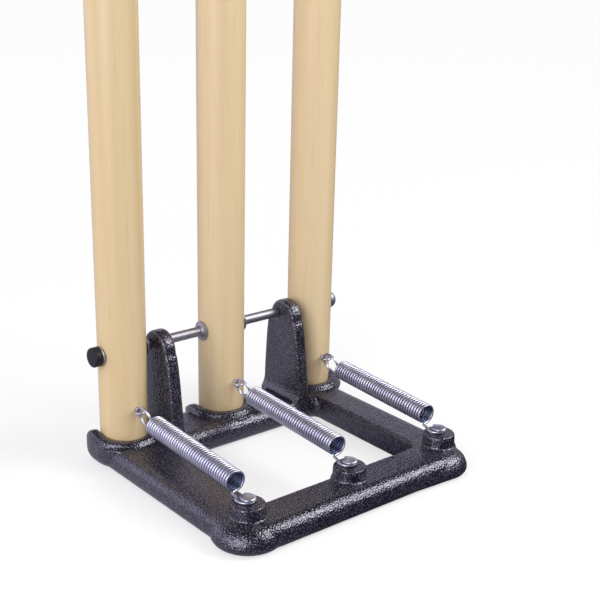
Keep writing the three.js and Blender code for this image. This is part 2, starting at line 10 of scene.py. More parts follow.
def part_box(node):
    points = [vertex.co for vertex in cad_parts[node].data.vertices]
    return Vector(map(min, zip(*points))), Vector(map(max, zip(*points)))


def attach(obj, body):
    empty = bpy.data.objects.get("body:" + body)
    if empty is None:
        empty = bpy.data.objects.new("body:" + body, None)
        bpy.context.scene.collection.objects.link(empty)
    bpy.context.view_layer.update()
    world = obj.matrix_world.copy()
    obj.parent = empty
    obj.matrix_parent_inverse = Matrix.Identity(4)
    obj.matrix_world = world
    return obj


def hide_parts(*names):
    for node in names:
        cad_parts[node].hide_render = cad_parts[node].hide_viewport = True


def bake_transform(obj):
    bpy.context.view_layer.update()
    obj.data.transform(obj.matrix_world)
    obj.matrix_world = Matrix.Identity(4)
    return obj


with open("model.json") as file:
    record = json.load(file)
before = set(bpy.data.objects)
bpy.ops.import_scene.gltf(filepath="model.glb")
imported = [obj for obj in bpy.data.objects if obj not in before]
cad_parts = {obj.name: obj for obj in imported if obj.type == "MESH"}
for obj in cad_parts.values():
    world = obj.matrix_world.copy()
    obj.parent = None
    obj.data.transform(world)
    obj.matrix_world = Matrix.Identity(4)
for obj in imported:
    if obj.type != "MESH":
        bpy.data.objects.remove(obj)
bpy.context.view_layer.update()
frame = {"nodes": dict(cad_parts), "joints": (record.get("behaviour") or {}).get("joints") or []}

# Spring-return cricket stumps. Sizes are in millimetres: X along the rod from the middle stump,
# Y back from the rod's line, so that the springs are at -Y, and Z up from the ground.
mm = 0.001         # metres in a millimetre
weld = 0.00001     # metres within which two points are one
slack = 0.01       # millimetres, for a point that lies on a limit
rodY = frame["joints"][0]["pos_m"][1]
rodZ = frame["joints"][0]["pos_m"][2] / mm
stumpPlaces = {j["child"]: j["pos_m"][0] / mm for j in frame["joints"]}
pitch = max(stumpPlaces.values())
sides = ("left", "middle", "right")


def at(x, y, z):
    return Vector((x * mm, y * mm + rodY, z * mm))


def share(value, low, high):
    return min(1, max(0, (value - low) / (high - low)))


# Helpers for meshes

def linked(name, data):
    piece = bpy.data.objects.new(name, data)
    bpy.context.scene.collection.objects.link(piece)
    return piece


def smoothed(mesh, crease=None):
    # shaded smooth, but crisp where faces meet at more than crease degrees
    mesh.polygons.foreach_set("use_smooth", [True] * len(mesh.polygons))
    if crease:
        mesh.set_sharp_from_angle(angle=math.radians(crease))


def finish(name, bm):
    bmesh.ops.remove_doubles(bm, verts=bm.verts, dist=weld)
    bmesh.ops.recalc_face_normals(bm, faces=bm.faces)
    mesh = bpy.data.meshes.new(name)
    bm.to_mesh(mesh)
    bm.free()
    smoothed(mesh)
    return linked(name, mesh)


def applied(piece):
    # the mesh takes its modifiers in
    bpy.context.view_layer.update()
    depsgraph = bpy.context.evaluated_depsgraph_get()
    mesh = bpy.data.meshes.new_from_object(piece.evaluated_get(depsgraph))
    piece.modifiers.clear()
    piece.data = mesh


def boolean(piece, tools, operation):
    for tool in tools:
        change = piece.modifiers.new("cut", "BOOLEAN")
        change.operation = operation
        change.solver = "EXACT"
        change.object = tool
    applied(piece)
    for tool in tools:
        bpy.data.objects.remove(tool)
    return piece


def turned(name, profile, centre, axis, steps=64):
    # profile: (distance along the axis, radius) pairs in millimetres, turned about the axis
    bm = bmesh.new()
    side = Vector((0, 0, 1)) if axis == "x" else Vector((1, 0, 0))
    line = Vector((1, 0, 0)) if axis == "x" else Vector((0, 0, 1))
    verts = [bm.verts.new((line * along + side * radius) * mm) for along, radius in profile]
    edges = [bm.edges.new(pair) for pair in zip(verts, verts[1:])]
    bmesh.ops.spin(bm, geom=verts + edges, cent=(0, 0, 0), axis=line, dvec=(0, 0, 0),
                   angle=2 * math.pi, steps=steps, use_merge=True, use_duplicate=False)
    bmesh.ops.translate(bm, verts=bm.verts, vec=centre)
    return finish(name, bm)


def quarter(start, end, steps=6, bulge=True):
    # points of a quarter round from start to end, bulging outwards or hollow
    points = []
    for step in range(steps + 1):
        angle = step / steps * math.pi / 2
        first, second = math.sin(angle), 1 - math.cos(angle)
        if not bulge:
            first, second = second, first
        points.append((start[0] + (end[0] - start[0]) * first, start[1] + (end[1] - start[1]) * second))
    return points


def only(geom, *kinds):
    return [g for g in geom if isinstance(g, kinds)]


def roundedRing(bm, left, right, front, rear, frontRadius, rearRadius, height, steps=10):
    # one rounded rectangle as a loop of edges
    made = bmesh.ops.create_grid(bm, x_segments=1, y_segments=1, size=0.5)["verts"]    # a metre wide
    bmesh.ops.scale(bm, verts=made, vec=((right - left) * mm, (rear - front) * mm, 1))
    bmesh.ops.translate(bm, verts=made, vec=at((left + right) / 2, (front + rear) / 2, height))
    middle = (front + rear) / 2 * mm + rodY
    rearCorners = [v for v in made if v.co.y > middle]
    frontCorners = [v for v in made if v.co.y < middle]
    for radius, corners in ((frontRadius, frontCorners), (rearRadius, rearCorners)):
        result = bmesh.ops.bevel(bm, geom=corners, offset=radius * mm, offset_type="OFFSET", segments=steps,
                                 profile=0.5, affect="VERTICES", material=-1)
    face = result["verts"][0].link_faces[0]
    edges = list(face.edges)
    bmesh.ops.delete(bm, geom=[face], context="FACES_ONLY")
    return edges


def lofted(name, rings):
    # rings: arguments of roundedRing from the lowest to the highest
    bm = bmesh.new()
    loops = [roundedRing(bm, *ring) for ring in rings]
    for low, high in zip(loops, loops[1:]):
        bmesh.ops.bridge_loops(bm, edges=low + high)
    for loop in (loops[0], loops[-1]):
        bmesh.ops.contextual_create(bm, geom=loop)
    return finish(name, bm)


# Materials

def shaderOf(name, surface):
    # surface: the shader's own sockets that are the same all over
    material = bpy.data.materials.new(name)
    material.use_nodes = True
    nodes, links = material.node_tree.nodes, material.node_tree.links
    shader = nodes["Principled BSDF"]
    for socket, value in surface.items():
        shader.inputs[socket].default_value = value
    return material, nodes, links, shader


def feed(links, source, socket):
    # source: another socket, a number, a direction or a colour
    if isinstance(source, bpy.types.NodeSocket):
        links.new(source, socket)
    elif socket.type == "RGBA":
        socket.default_value = (*source, 1)
    else:
        socket.default_value = source


def mathOf(nodes, links, operation, *sources):
    made = nodes.new("ShaderNodeMath")
    made.operation = operation
    for source, socket in zip(sources, made.inputs):
        feed(links, source, socket)
    return made.outputs["Value"]


def dotOf(nodes, links, vector, direction):
    made = nodes.new("ShaderNodeVectorMath")
    made.operation = "DOT_PRODUCT"
    feed(links, vector, made.inputs[0])
    feed(links, direction, made.inputs[1])
    return made.outputs["Value"]


def mixOf(nodes, links, factor, low, high, blend="MIX"):
    made = nodes.new("ShaderNodeMix")
    made.data_type = "RGBA"
    made.blend_type = blend
    feed(links, factor, made.inputs["Factor"])
    feed(links, low, made.inputs["A"])
    feed(links, high, made.inputs["B"])
    return made.outputs["Result"]


def objectPlace(nodes, links, scale=(1, 1, 1)):
    place = nodes.new("ShaderNodeTexCoord")
    mapping = nodes.new("ShaderNodeMapping")
    mapping.inputs["Scale"].default_value = scale
    links.new(place.outputs["Object"], mapping.inputs["Vector"])
    return mapping.outputs["Vector"]


def ramp(nodes, links, source, stops):
    made = nodes.new("ShaderNodeValToRGB")
    elements = made.color_ramp.elements
    while len(elements) < len(stops):
        elements.new(0.5)
    for element, (place, colour) in zip(elements, stops):
        element.position = place
        element.color = (*colour, 1)
    links.new(source, made.inputs["Fac"])
    return made.outputs["Color"]


def noiseOf(nodes, links, vector, grain):
    # grain: waves per metre, detail and roughness
    made = nodes.new("ShaderNodeTexNoise")
    for name, value in zip(("Scale", "Detail", "Roughness"), grain):
        made.inputs[name].default_value = value
    links.new(vector, made.inputs["Vector"])
    return made.outputs["Fac"]


def bumpOf(nodes, links, shader, height, relief):
    # relief: strength, and depth in metres
    made = nodes.new("ShaderNodeBump")
    made.inputs["Strength"].default_value, made.inputs["Distance"].default_value = relief
    links.new(height, made.inputs["Height"])
    links.new(made.outputs["Normal"], shader.inputs["Normal"])
    return made.outputs["Normal"]


def grey(level):
    return (level, level, level)


def hammeredEnamel():
    look = {
        "cell": 1 / 0.0015, "cellSoftness": 0.45,    # cells of 1.5 mm, broken up by a grain of 0.8 mm
        "fine": (1 / 0.0008, 2, 0.5), "fineShare": 0.6,
        "speck": (0.120, 0.111, 0.155), "grey": (0.034, 0.032, 0.047), "dark": (0.006, 0.006, 0.010),
        "relief": (1, 0.00034),
        "surface": {"Metallic": 0.15, "Roughness": 0.15, "IOR": 1.95, "Specular Tint": (0.88, 0.86, 1, 1),
                    "Coat Weight": 0.25, "Coat Roughness": 0.08},
    }
    material, nodes, links, shader = shaderOf("hammeredEnamel", look["surface"])
    even = objectPlace(nodes, links)
    cells = nodes.new("ShaderNodeTexVoronoi")
    cells.feature = "SMOOTH_F1"
    cells.inputs["Scale"].default_value = look["cell"]
    cells.inputs["Smoothness"].default_value = look["cellSoftness"]
    links.new(even, cells.inputs["Vector"])
    fine = noiseOf(nodes, links, even, look["fine"])
    hammered = mathOf(nodes, links, "MULTIPLY_ADD", fine, look["fineShare"], cells.outputs["Distance"])
    colour = ramp(nodes, links, hammered,
                  [(0.48, look["speck"]), (0.64, look["grey"]), (0.82, look["dark"])])
    links.new(colour, shader.inputs["Base Color"])
    links.new(bumpOf(nodes, links, shader, hammered, look["relief"]), shader.inputs["Coat Normal"])
    return material


def varnishedAsh():
    look = {
        "along": (1, 1, 0.03), "broad": (60, 2, 0.5), "thin": (620, 3, 0.6), "streakShare": 0.45,
        "pale": (0.770, 0.600, 0.358), "warm": (0.710, 0.528, 0.280), "streak": (0.620, 0.440, 0.215),
        "relief": (0.08, 0.0003),
        "surface": {"Roughness": 0.42, "Coat Weight": 0.5, "Coat Roughness": 0.24},
    }
    material, nodes, links, shader = shaderOf("varnishedAsh", look["surface"])
    along = objectPlace(nodes, links, look["along"])
    broad = noiseOf(nodes, links, along, look["broad"])
    wood = ramp(nodes, links, broad, [(0.36, look["pale"]), (0.68, look["warm"])])
    thin = noiseOf(nodes, links, along, look["thin"])
    streaks = ramp(nodes, links, thin, [(0.55, grey(0)), (0.75, grey(1))])
    streaked = mathOf(nodes, links, "MULTIPLY", streaks, look["streakShare"])
    colour = mixOf(nodes, links, streaked, wood, look["streak"])
    links.new(colour, shader.inputs["Base Color"])
    bumpOf(nodes, links, shader, thin, look["relief"])
    return material


def platedWire():
    look = {
        "patches": (55, 2, 0.5), "cool": (0.55, 0.55, 0.68), "bright": (0.69, 0.69, 0.80),
        # hollow is painted shade: the blue-black that darkens the wire's side facing into the coil
        "paintedHollowShade": (0.09, 0.12, 0.24), "haze": (400, 2, 0.5), "smooth": grey(0.36), "rough": grey(0.46),
        "drawn": (1500, 2, 0.5), "relief": (0.05, 0.0001), "surface": {"Metallic": 1},
    }
    material, nodes, links, shader = shaderOf("platedWire", look["surface"])
    even = objectPlace(nodes, links)
    patches = noiseOf(nodes, links, even, look["patches"])
    plated = ramp(nodes, links, patches, [(0.35, look["cool"]), (0.65, look["bright"])])
    inner = nodes.new("ShaderNodeAttribute")    # painted shade: the wire's side that faces into the coil is darkened to blue-black
    inner.attribute_name = "inner"
    colour = mixOf(nodes, links, inner.outputs["Fac"], plated, look["paintedHollowShade"])
    links.new(colour, shader.inputs["Base Color"])
    haze = noiseOf(nodes, links, even, look["haze"])
    rough = ramp(nodes, links, haze, [(0.3, look["smooth"]), (0.7, look["rough"])])
    links.new(rough, shader.inputs["Roughness"])
    bumpOf(nodes, links, shader, noiseOf(nodes, links, even, look["drawn"]), look["relief"])
    return material


def plainSteel():
    look = {
        "around": (1, 0.12, 0.12), "lines": (900, 3, 0.6),
        "dark": (0.40, 0.39, 0.43), "light": (0.45, 0.44, 0.49), "smooth": grey(0.46), "rough": grey(0.52),
        "relief": (0.06, 0.0001), "surface": {"Metallic": 1},
    }
    material, nodes, links, shader = shaderOf("plainSteel", look["surface"])
    around = objectPlace(nodes, links, look["around"])
    lines = noiseOf(nodes, links, around, look["lines"])
    colour = ramp(nodes, links, lines, [(0.3, look["dark"]), (0.7, look["light"])])
    links.new(colour, shader.inputs["Base Color"])
    rough = ramp(nodes, links, lines, [(0.3, look["smooth"]), (0.7, look["rough"])])
    links.new(rough, shader.inputs["Roughness"])
    bumpOf(nodes, links, shader, lines, look["relief"])
    return material


def blackRubber():
    look = {
        "grain": (900, 3, 0.6), "dark": (0.008, 0.008, 0.010), "worn": (0.022, 0.021, 0.026),
        "relief": (0.12, 0.0002), "surface": {"Roughness": 0.48, "Specular IOR Level": 0.3},
    }
    material, nodes, links, shader = shaderOf("blackRubber", look["surface"])
    grain = noiseOf(nodes, links, objectPlace(nodes, links), look["grain"])
    colour = ramp(nodes, links, grain, [(0.3, look["dark"]), (0.7, look["worn"])])
    links.new(colour, shader.inputs["Base Color"])
    bumpOf(nodes, links, shader, grain, look["relief"])
    return material


enamel = hammeredEnamel()
ash = varnishedAsh()
wire = platedWire()
steel = plainSteel()
rubber = blackRubber()
print("finishes made")


def place(piece, body, nodeNames, material, slot):
    piece.data.materials.clear()
    piece.data.materials.append(material)
    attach(piece, body)
    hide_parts(*nodeNames)


# The cast base

base = {
    "thickness": 20, "left": -pitch - 23.15, "right": pitch + 16.25, "front": -188.8, "rear": 15,
    "frontCorner": 36, "rearCorner": 12, "rollTop": 10, "rollFoot": 7,
    "windowHalf": pitch - 16.95, "windowFront": -154.4, "windowRear": -34.5,
    "windowFrontCorner": 7, "windowRearCorner": 5, "windowEdge": 2.5,
    "lobeTop": 15, "leftLobe": (-pitch, -162.7, 27.1),
    "rightLobe": (pitch - 4.2, -170.6, 21), "rightSwell": (-41, 2.8),
    "levels": 22, "overcut": 3,
}
collar = {
    "radius": 27.3, "seat": 20, "straight": 5.5, "turn": math.radians(32), "front": 24.6, "outer": 28.2,
    "inner": 24.9, "shoulder": 6, "end": 15, "edge": 3.4, "footRoll": 10, "rim": 30, "seatLip": 0.3,
    "fillet": 4, "filletFoot": 19.7, "filletFade": 0.7, "lowestRim": 19.8,
}
ear = {
    "inner": 58.6, "thickness": 11.4, "crown": 15.7, "drop": 3.3, "lean": 6.8, "rodHole": 3.5,
    "frontFlare": 11.1, "frontPower": 0.6, "rearFlare": 8.6, "rearPower": 0.3, "edge": 3.2, "edgeSteps": 5,
    "filletHeight": 9, "filletSpread": 3.2, "filletLevels": 8, "levels": 16,
}
boss = {"reach": 162.7, "height": 30, "radius": 12.6, "draft": 0.4, "edge": 1.4, "fillet": 1.2, "sunk": 0.3}
skin = {    # lengths in metres, lumps and dimples in waves per metre
    "voxel": 0.00085, "softening": 3, "triangles": 190000,
    "lumps": (110, 260), "unevenness": 0.00009, "dimples": 480, "dimple": 0.00005,
}


def rollInset(height, foot, top):
    below = max(0, foot - height)
    above = max(0, height - (base["thickness"] - top))
    return foot - math.sqrt(foot ** 2 - below ** 2) + top - math.sqrt(top ** 2 - above ** 2)


def barLevels():
    # closer together where the edges roll
    count = base["levels"]
    return [base["thickness"] * (1 - math.cos(math.pi * step / count)) / 2 for step in range(count + 1)]


def frameSlab():
    rings = []
    for height in barLevels():
        inset = rollInset(height, base["rollFoot"], base["rollTop"])
        rings.append((base["left"] + inset, base["right"] - inset,
                      base["front"] + inset, base["rear"] - inset,
                      base["frontCorner"] - inset, base["rearCorner"] - inset, height))
    return lofted("slab", rings)


def windowTool():
    rings = []
    for height in [-base["overcut"]] + barLevels() + [base["thickness"] + base["overcut"]]:
        level = min(base["thickness"], max(0, height))
        wall = rollInset(level, base["windowEdge"], base["windowEdge"])
        roll = rollInset(level, base["rollFoot"], base["rollTop"])
        rings.append((-base["windowHalf"] - wall, base["windowHalf"] + wall, base["windowFront"] - wall,
                      base["windowRear"] + roll, base["windowFrontCorner"] + wall,
                      base["windowRearCorner"] + wall, height))
    return lofted("window", rings)


def lobe(x, y, radius):
    profile = [(0, 0)]
    for height in barLevels():
        profile.append((height, radius - rollInset(height, base["rollFoot"], base["lobeTop"])))
    profile.append((base["thickness"], 0))
    return turned("lobe", profile, at(x, y, 0), "z", steps=96)


def swollenEnd(spot, swell):
    # the front bar swells towards its right end: a lobe with its left half drawn out
    piece = lobe(*spot)
    middle = at(*spot[:2], 0).x
    for v in piece.data.vertices:
        if v.co.x < middle - slack * mm:
            v.co += Vector((*swell, 0)) * mm
    return piece


def bossSolid(x):
    radius, height, edge = boss["radius"], boss["height"], boss["edge"]
    foot = radius + boss["draft"]
    pad = foot + boss["fillet"]
    bottom = base["thickness"] - boss["sunk"]
    profile = [(0, 0), (0, pad), (bottom, pad)]
    profile += quarter((bottom, pad), (bottom + boss["fillet"], foot), steps=6, bulge=False)
    profile += quarter((height - edge, radius), (height, radius - edge), steps=6)
    profile += [(height, 0)]
    return turned("boss", profile, at(x, -boss["reach"], 0), "z", steps=72)


def rimHeight(behind, shoulder):
    if behind <= collar["shoulder"]:
        rise = (behind + collar["radius"]) / (collar["shoulder"] + collar["radius"])
        return collar["front"] + (shoulder - collar["front"]) * rise ** 2
    reach = collar["straight"] + collar["radius"] * math.sin(collar["turn"])
    fall = share(behind, collar["shoulder"], reach)
    return collar["end"] + (shoulder - collar["end"]) * math.sqrt(1 - fall ** 2)


def collarSolid(x, leftShoulder, rightShoulder):
    # a section turned round the front of the seat, with the rim then lifted to its height
    inner, outer, edge = collar["seat"] - collar["edge"], collar["radius"], collar["edge"]
    rim, roll, fillet, foot = collar["rim"], collar["footRoll"], collar["fillet"], collar["filletFoot"]
    section = [(inner, 0)]
    section += [(outer - rollInset(roll * part, roll, roll), roll * part)
                for part in (0.05, 0.12, 0.25, 0.45, 0.7, 1)]
    section += [(outer + fillet, foot)]
    section += [(outer + fillet * (1 - math.sin(a)), foot + fillet * (1 - math.cos(a)))
                for a in (0.35, 0.75, 1.15, math.pi / 2)]
    section += [(outer - edge * (1 - math.cos(a)), rim - edge * (1 - math.sin(a)))
                for a in (0, 0.3, 0.6, 0.9, 1.25, math.pi / 2)]
    section += [(collar["seat"] + collar["seatLip"], rim), (inner, rim - edge)]
    bm = bmesh.new()
    behind, turn = collar["straight"], collar["turn"]
    verts = [bm.verts.new((reach * mm, 0, height * mm)) for reach, height in section]
    edges = [bm.edges.new(pair) for pair in zip(verts, verts[1:] + verts[:1])]
    bmesh.ops.contextual_create(bm, geom=edges)
    bmesh.ops.rotate(bm, verts=verts, cent=(0, 0, 0), matrix=Matrix.Rotation(turn, 3, "Z"))
    bmesh.ops.translate(bm, verts=verts, vec=(0, behind * mm, 0))
    last = verts + edges
    for centreY, angle, steps in ((behind, turn, 8), (0, math.pi, 48), (behind, turn, 8)):
        if centreY == 0:
            bmesh.ops.translate(bm, verts=only(last, BMVert), vec=(0, -behind * mm, 0))
        spun = bmesh.ops.spin(bm, geom=last, cent=(0, centreY * mm, 0), axis=(0, 0, -1), dvec=(0, 0, 0),
                              angle=angle, steps=steps, use_duplicate=False)
        last = only(spun["geom_last"], BMVert, BMEdge)
        if centreY == 0:
            straight = bmesh.ops.extrude_edge_only(bm, edges=only(last, BMEdge))
            last = only(straight["geom"], BMVert, BMEdge)
            bmesh.ops.translate(bm, verts=only(last, BMVert), vec=(0, behind * mm, 0))
    bmesh.ops.contextual_create(bm, geom=only(last, BMEdge))
    wallFoot = foot + fillet
    for v in bm.verts:
        centreY = 0 if v.co.y < 0 else min(v.co.y, behind * mm)
        outward = Vector((v.co.x, v.co.y - centreY))
        reach, height = outward.length / mm, v.co.z / mm
        outward.normalize()
        shoulder = rightShoulder if v.co.x > 0 else leftShoulder
        target = rimHeight(centreY / mm + outward.y * outer, shoulder)
        fade = max(0, -outward.y) ** collar["filletFade"]
        if foot - slack < height <= wallFoot + slack and reach > outer - slack:
            reach = outer + (reach - outer) * fade
            low = target <= wallFoot + edge
            height = min(height, target - edge) if low else foot + (height - foot) * fade
        elif height > wallFoot:
            height = max(height - rim + target, min(collar["lowestRim"], target))
        v.co = (outward.x * reach * mm, outward.y * reach * mm + centreY, height * mm)
    bmesh.ops.translate(bm, verts=bm.verts, vec=at(x, 0, 0))
    return finish("collar", bm)


def earSolid(side):
    rings = []
    top, crownHeight, full = base["thickness"], rodZ - ear["drop"], ear["thickness"]
    filletTop = top + ear["filletHeight"]
    middle = side * (ear["inner"] + full / 2)
    levels, filletLevels = ear["levels"], ear["filletLevels"]
    least = 0.2    # half of the flat that the rounded edges leave at the least

    def ring(height, front, rear, thick):
        radius = min(ear["edge"], (rear - front) / 2 - least, thick / 2 - least)
        return (middle - thick / 2, middle + thick / 2, front, rear, radius, radius, height,
                ear["edgeSteps"])

    def outline(height):
        fall = (crownHeight - height) / (crownHeight - top)
        return (-ear["lean"] - ear["crown"] - ear["frontFlare"] * fall ** ear["frontPower"],
                -ear["lean"] + ear["crown"] + ear["rearFlare"] * fall ** ear["rearPower"])

    rings.append(ring(top / 2, *outline(top), full + 2 * ear["filletSpread"]))
    for step in range(filletLevels + 1):
        height = top + ear["filletHeight"] * step / filletLevels
        spread = 2 * ear["filletSpread"] * (1 - step / filletLevels) ** 2
        rings.append(ring(height, *outline(height), full + spread))
    for step in range(1, levels + 1):
        height = filletTop + (crownHeight - filletTop) * step / levels
        rings.append(ring(height, *outline(height), full))
    for step in range(1, levels):
        angle = step / levels * math.pi / 2
        half = ear["crown"] * math.cos(angle)
        rounding = ear["edge"] * (1 - math.sqrt(1 - (step / levels) ** 6))
        rings.append(ring(crownHeight + ear["crown"] * math.sin(angle), -ear["lean"] - half,
                          -ear["lean"] + half, full - 2 * rounding))
    return lofted("ear", rings)


def seatTool(x):
    # a round cut that is drawn out backwards, because the seats are open behind
    height, below, back = 60, 4, 40
    radius = collar["seat"] * mm
    bm = bmesh.new()
    bmesh.ops.create_cone(bm, cap_ends=True, segments=96, radius1=radius, radius2=radius, depth=height * mm)
    for v in bm.verts:
        if v.co.y > slack * mm:
            v.co.y += back * mm
    bmesh.ops.translate(bm, verts=bm.verts, vec=at(x, 0, height / 2 - below))
    return finish("seat", bm)


def uneven(mesh):
    # a sand casting is never quite even
    places = [v.co.copy() for v in mesh.vertices]
    normals = [v.normal.copy() for v in mesh.vertices]
    broad, narrow = skin["lumps"]
    moved = []
    for place, normal in zip(places, normals):
        lump = noise.noise(place * broad) + 0.5 * noise.noise(place * narrow)
        dimple = noise.noise(place * skin["dimples"])
        place += normal * (lump * skin["unevenness"] + dimple * skin["dimple"])
        moved += [place.x, place.y, max(0, place.z)]    # nothing goes under the ground
    mesh.vertices.foreach_set("co", moved)
    mesh.update()


def rodHole():
    reach, radius = 90, ear["rodHole"]
    profile = [(-reach, 0), (-reach, radius), (reach, radius), (reach, 0)]
    return turned("rodHole", profile, at(0, 0, rodZ), "x", steps=32)


def together(name, forms):
    # closed forms that overlap, as one mesh
    bm = bmesh.new()
    for form in forms:
        bm.from_mesh(form.data)
        bpy.data.objects.remove(form)
    mesh = bpy.data.meshes.new(name)
    bm.to_mesh(mesh)
    bm.free()
    return linked(name, mesh)


def castBase():
    # each form is cut by itself, then one even skin closes over them all, and its inner corners
    # are softened as a casting's are
    outer, inner = collar["outer"], collar["inner"]
    places = (-pitch, 0, pitch)
    forms = [boolean(frameSlab(), [windowTool()] + [seatTool(x) for x in places], "DIFFERENCE")]
    forms += [lobe(*base["leftLobe"]), swollenEnd(base["rightLobe"], base["rightSwell"])]
    for x, left, right in zip(places, (outer, inner, inner), (inner, inner, outer)):
        forms.append(boolean(collarSolid(x, left, right), [seatTool(x)], "DIFFERENCE"))
    forms += [boolean(earSolid(side), [rodHole()], "DIFFERENCE") for side in (-1, 1)]
    forms += [bossSolid(x) for x in places]
    body = together("casting", forms)
    even = body.modifiers.new("skin", "REMESH")
    even.mode = "VOXEL"
    even.voxel_size = skin["voxel"]
    even.adaptivity = 0
    even.use_smooth_shade = True
    soft = body.modifiers.new("soft", "SMOOTH")
    soft.factor = 0.5
    soft.iterations = skin["softening"]
    applied(body)
    triangles = 2 * len(body.data.polygons)
    thin = body.modifiers.new("thin", "DECIMATE")
    thin.ratio = min(1, skin["triangles"] / triangles)
    applied(body)
    print("casting triangles", triangles, "and faces once thinned", len(body.data.polygons))
    uneven(body.data)
    smoothed(body.data)
    place(body, "base", ["base_casting"], enamel, "enamel")


castBase()
print("base casting made")


# Stumps

stump = {
    "radius": 19.05, "foot": 6, "chamfer": 1.5, "levels": (50, 100, 300, 500), "top": 711, "dome": 11,
    "grooveWidth": 10, "grooveDepth": 6, "bore": 5.3, "pilot": 1.9, "pilotLength": 22, "pilotEnd": 1.2,
    "eyeHeight": 49, "cut": 24, "crease": 35,
}


def crossCut(name, radius, centre):
    reach = stump["cut"]
    return turned(name, [(-reach, 0), (-reach, radius), (reach, radius), (reach, 0)], centre, "x", steps=40)


def stumpSolid(name, x):
    radius, top, foot, chamfer = stump["radius"], stump["top"], stump["foot"], stump["chamfer"]
    profile = [(foot, 0), (foot, radius - chamfer)]
    profile += quarter((foot, radius - chamfer), (foot + chamfer, radius), steps=4, bulge=False)
    profile += [(level, radius) for level in stump["levels"]]
    profile += quarter((top - stump["dome"], radius), (top, 0), steps=14)
    piece = turned("wood_" + name, profile, at(x, 0, 0), "z", steps=96)
    bore = crossCut("bore", stump["bore"], at(x, 0, rodZ))
    groove = stump["grooveWidth"] / 2
    slotTool = crossCut("groove", groove, at(x, 0, top - stump["grooveDepth"] + groove))
    depth, wide = stump["pilotLength"], stump["pilot"]
    pilot = turned("pilot", [(0, 0), (0, wide), (depth, wide), (depth, 0)], (0, 0, 0), "z", steps=24)
    pilot.data.transform(Matrix.Rotation(math.pi / 2, 4, "X"))
    pilot.data.transform(Matrix.Translation(at(x, -stump["pilotEnd"], stump["eyeHeight"])))
    boolean(piece, [bore, slotTool, pilot], "DIFFERENCE")
    smoothed(piece.data, stump["crease"])
    place(piece, name, [name], ash, "timber")


for name, x in stumpPlaces.items():
    stumpSolid(name, x)
print("stumps made")


# The pivot rod and what is on it

pivot = {
    "rod": 3, "rodEnd": -119.7, "rodTaper": -119.1, "rodTip": 2.4,
    "headPlace": 115.9, "headRadius": 7.5, "headHeight": 7.4, "headRim": 1.2, "headCorner": 0.3,
    "capLength": 6.8, "capRadius": 7.75, "capEdge": 1.6, "capWall": 2, "capBore": 3.3, "capGap": 0.1,
    "capLip": 0.5, "washerRadius": 8, "washerFace": 114.6, "washerThickness": 1.2, "washerBore": 3.4,
    "washerCorner": 0.35, "spacer": 4, "spacerBore": 3.3, "flare": 8, "flareLip": 1.1, "flareLength": 4.2,
    "flareCorner": 0.3,
}


def pivotRod():
    seat, head, corner = pivot["headPlace"], pivot["headRadius"], pivot["headCorner"]
    end, rod = pivot["rodEnd"], pivot["rod"]
    profile = [(end, 0), (end, pivot["rodTip"]), (pivot["rodTaper"], rod), (seat, rod),
               (seat, head - corner), (seat + corner, head), (seat + pivot["headRim"], head)]
    profile += quarter((seat + pivot["headRim"], head), (seat + pivot["headHeight"], 0), steps=12)
    piece = turned("rod", profile, at(0, 0, rodZ), "x")
    smoothed(piece.data, crease=40)
    place(piece, "base", ["pivot_rod"], steel, "steel")


def endCap():
    face, radius, edge = -pivot["headPlace"] + pivot["capGap"], pivot["capRadius"], pivot["capEdge"]
    end, bore, lip = face - pivot["capLength"], pivot["capBore"], pivot["capLip"]
    floor = end + pivot["capWall"]
    profile = [(face, bore), (floor, bore), (floor, 0), (end, 0), (end, radius - edge)]
    profile += quarter((end, radius - edge), (end + edge, radius), steps=6, bulge=False)
    profile += quarter((face - lip, radius), (face, radius - lip), steps=4)
    profile += [(face, bore)]
    piece = turned("cap", profile, at(0, 0, rodZ), "x")
    smoothed(piece.data, crease=50)
    place(piece, "base", ["rod_end_cap"], rubber, "rubber")


def endWasher(name, side):
    near, far = pivot["washerFace"], pivot["washerFace"] + pivot["washerThickness"]
    outer, corner, bore = pivot["washerRadius"], pivot["washerCorner"], pivot["washerBore"]
    profile = [(near, bore), (near, outer - corner), (near + corner, outer), (far - corner, outer),
               (far, outer - corner), (far, bore), (near, bore)]
    profile = [(side * along, reach) for along, reach in profile]
    piece = turned("washer_" + name, profile, at(0, 0, rodZ), "x")
    smoothed(piece.data, crease=30)
    place(piece, "base", ["end_washer_" + name], steel, "steel")


def spacerTube(name, node):
    # as long as its node, and flared at the end that meets the stump
    low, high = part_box(node)
    flareAtLow = (low.x > 0) == ("inner" in node)
    start, end = (low.x, high.x) if flareAtLow else (high.x, low.x)
    step = 1 if end > start else -1
    start, end = start / mm, end / mm
    lip, flare, outer, bore = pivot["flareLip"], pivot["flare"], pivot["spacer"], pivot["spacerBore"]
    corner = pivot["flareCorner"]
    profile = [(start, bore), (start, flare - corner), (start + step * corner, flare),
               (start + step * lip, flare)]
    profile += [(start + step * (lip + (pivot["flareLength"] - lip) * (1 - math.cos(a))),
                 flare - (flare - outer) * math.sin(a)) for a in (0.25, 0.5, 0.8, 1.1, 1.35, math.pi / 2)]
    profile += [(end, outer), (end, bore), (start, bore)]
    piece = turned(name, profile, at(0, 0, rodZ), "x")
    smoothed(piece.data, crease=45)
    place(piece, "base", [node], steel, "steel")


pivotRod()
endCap()
for name, side in (("left", -1), ("right", 1)):
    endWasher(name, side)
    for kind in ("inner", "outer"):
        spacerTube(f"{kind}_tube_{name}", f"{kind}_spacer_{name}")
for side in sides:
    bush = frame["nodes"]["pivot_bush_" + side]
    bush.data.materials.clear()
    bush.data.materials.append(steel)
print("pivot made")


# Springs, their pins and the screw eyes

